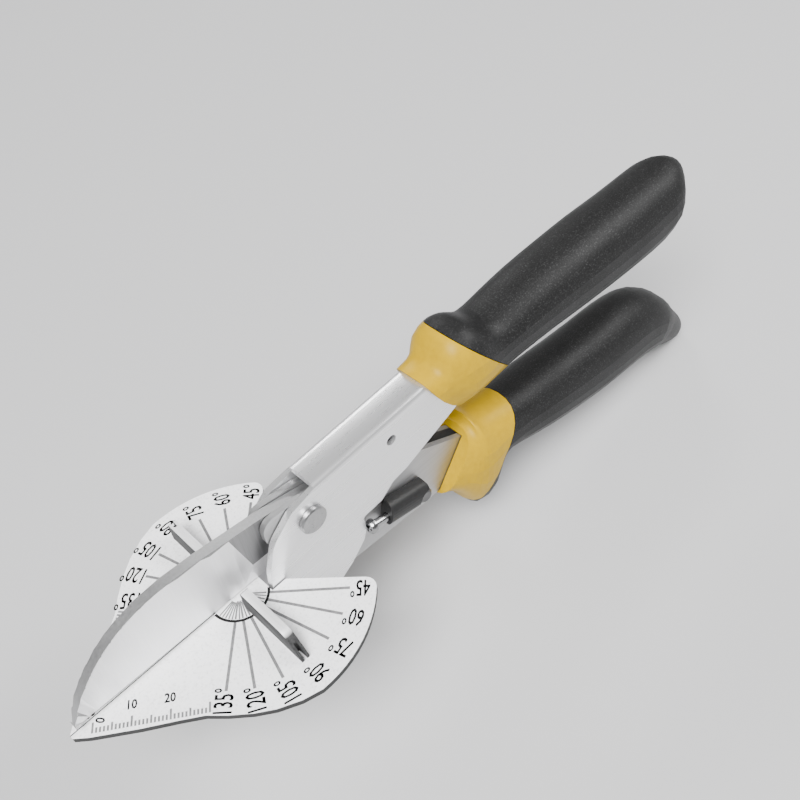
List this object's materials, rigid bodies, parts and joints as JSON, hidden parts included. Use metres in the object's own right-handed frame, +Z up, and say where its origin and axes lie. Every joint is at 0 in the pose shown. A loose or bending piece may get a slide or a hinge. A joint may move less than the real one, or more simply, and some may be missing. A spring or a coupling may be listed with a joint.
{
  "type": "mitre shears",
  "caption": "Anvil mitre shears: a blade closes on a protractor plate with two fences, worked by two long gripped handles with a safety lock.",
  "frame": {"origin": "middle of the whole tool's footprint, at the height of its lowest point", "axes": "+X runs along the tool from the blade's tip to the handle ends, +Y towards the side without the lock lever, +Z upwards, square to the protractor plate, from the lower handle to the upper handle"},
  "size_m": [0.2642, 0.075, 0.0952],
  "materials": {
    "white_coated_steel": "satin white coating",
    "fence_steel": "satin",
    "satin_steel": "bright satin",
    "grey_steel": "satin",
    "dark_steel": "dull",
    "blade_steel": "ground",
    "black_plastic": "matt",
    "yellow_rubber": "satin",
    "black_rubber": "fine grain"
  },
  "bodies": {
    "upper_handle": {"far_fence": "fence_steel", "fence_screw_far_inner": "dark_steel", "fence_screw_far_outer": "dark_steel", "fence_screw_near_inner": "dark_steel", "fence_screw_near_outer": "dark_steel", "main_rivet": "grey_steel", "near_fence": "fence_steel", "plate_rivet_far_front": "dark_steel", "plate_rivet_far_rear": "dark_steel", "plate_rivet_near_front": "dark_steel", "plate_rivet_near_rear": "dark_steel", "protractor_plate": "white_coated_steel", "return_spring": "dark_steel", "spring_pin": "dark_steel", "upper_channel": "satin_steel", "upper_collar": "yellow_rubber", "upper_grip": "black_rubber"},
    "lower_handle": {"lower_channel": "grey_steel", "blade": "blade_steel", "blade_rivet": "dark_steel", "lock_rivet": "satin_steel", "lower_collar": "yellow_rubber", "lower_grip": "black_rubber"},
    "lock": {"lock_lever": "black_plastic", "lock_screw": "satin_steel"}
  },
  "joints": [
    {"name": "handle_pivot", "type": "hinge", "parent": "upper_handle", "child": "lower_handle", "pos_m": [-0.05397, 0, 0.07323], "axis": [0, 1, 0], "range_deg": [-1.5, 28], "deforming": ["return_spring"]},
    {"name": "lock_pivot", "type": "hinge", "parent": "lower_handle", "child": "lock", "pos_m": [-0.01547, 0, 0.04433], "axis": [0, -1, 0], "range_deg": [-6.2, 112.5]}
  ],
  "couplings": [
    {"joint": "lock_pivot", "follows": "handle_pivot", "ratio": 4}
  ]
}
